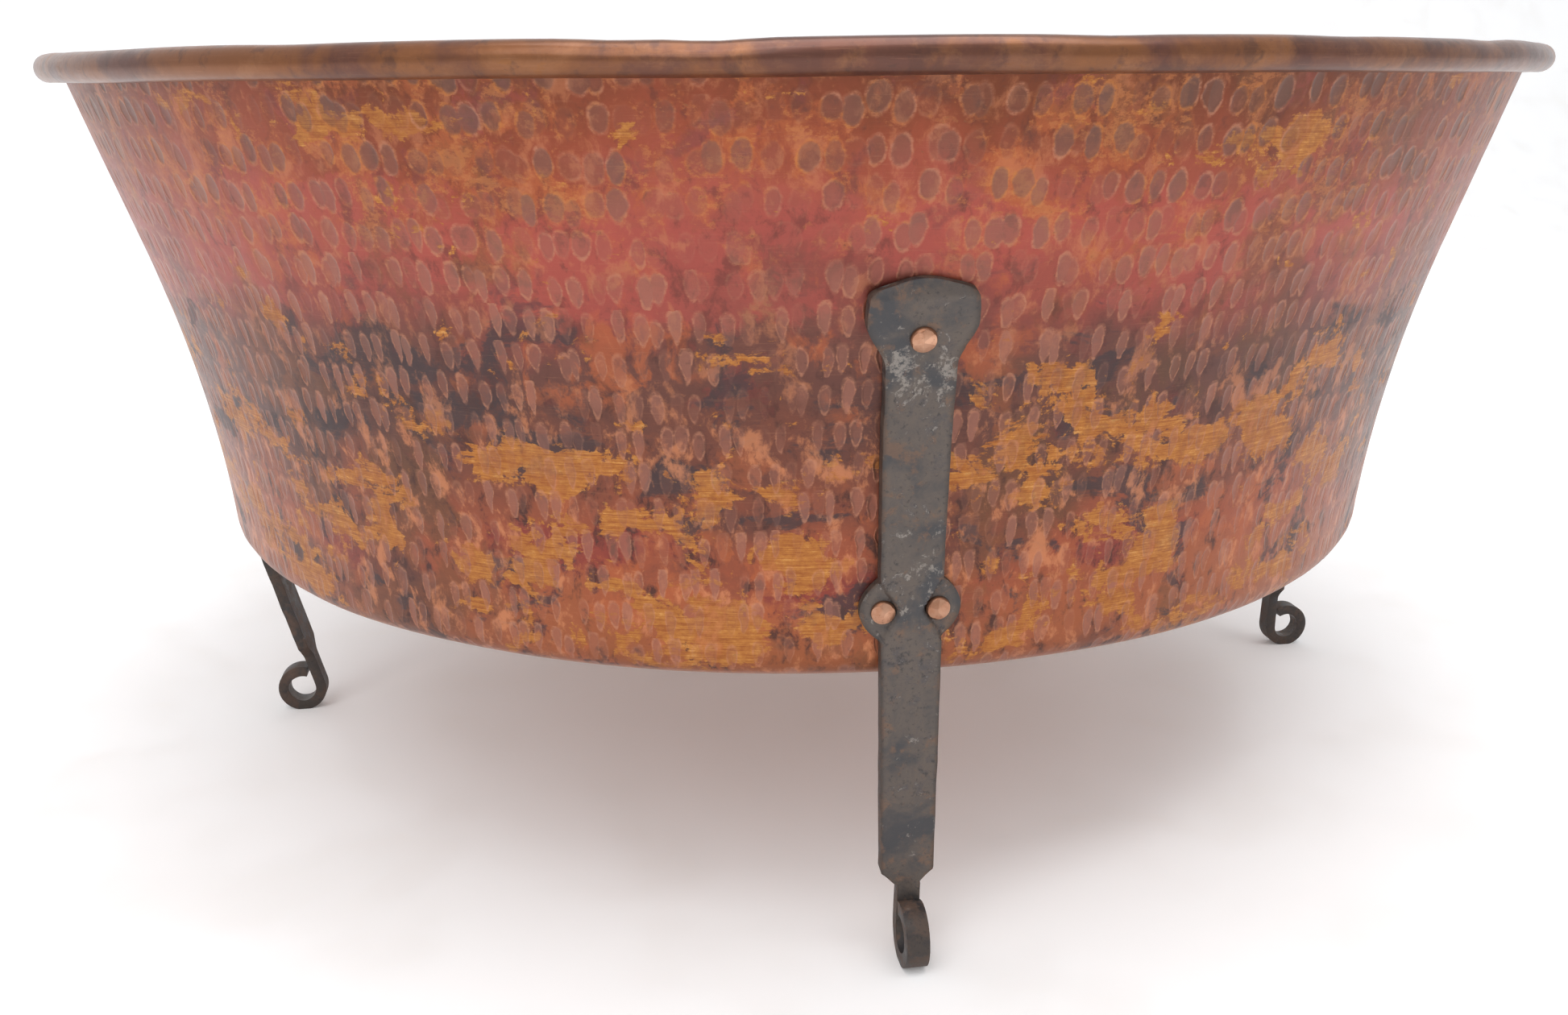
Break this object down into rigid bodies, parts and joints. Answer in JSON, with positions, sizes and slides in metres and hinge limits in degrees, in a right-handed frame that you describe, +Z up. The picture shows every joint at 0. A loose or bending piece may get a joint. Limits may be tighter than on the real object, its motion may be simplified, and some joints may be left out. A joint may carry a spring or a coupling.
{
  "type": "copper tub on forged legs",
  "caption": "Wide, flaring hammered copper tub with a rolled rim, riveted to forged flat-bar iron legs that end in scroll feet.",
  "frame": {"origin": "on the ground under the tub's centre", "axes": "+Z up through the tub's axis, -Y towards the front leg, +X towards the right leg"},
  "size_m": [0.9999, 1, 0.49],
  "materials": {
    "hammered_copper": "satin",
    "forged_iron": "satin",
    "rivet_copper": "satin",
    "rod_iron": "matte"
  },
  "bodies": {
    "root": {"tub": "hammered_copper", "rim_rod": "rod_iron", "leg_front": "forged_iron", "rivet_front_top": "rivet_copper", "rivet_front_low_left": "rivet_copper", "rivet_front_low_right": "rivet_copper", "leg_right": "forged_iron", "rivet_right_top": "rivet_copper", "rivet_right_low_left": "rivet_copper", "rivet_right_low_right": "rivet_copper", "leg_back": "forged_iron", "rivet_back_top": "rivet_copper", "rivet_back_low_left": "rivet_copper", "rivet_back_low_right": "rivet_copper", "leg_left": "forged_iron", "rivet_left_top": "rivet_copper", "rivet_left_low_left": "rivet_copper", "rivet_left_low_right": "rivet_copper"}
  },
  "joints": []
}
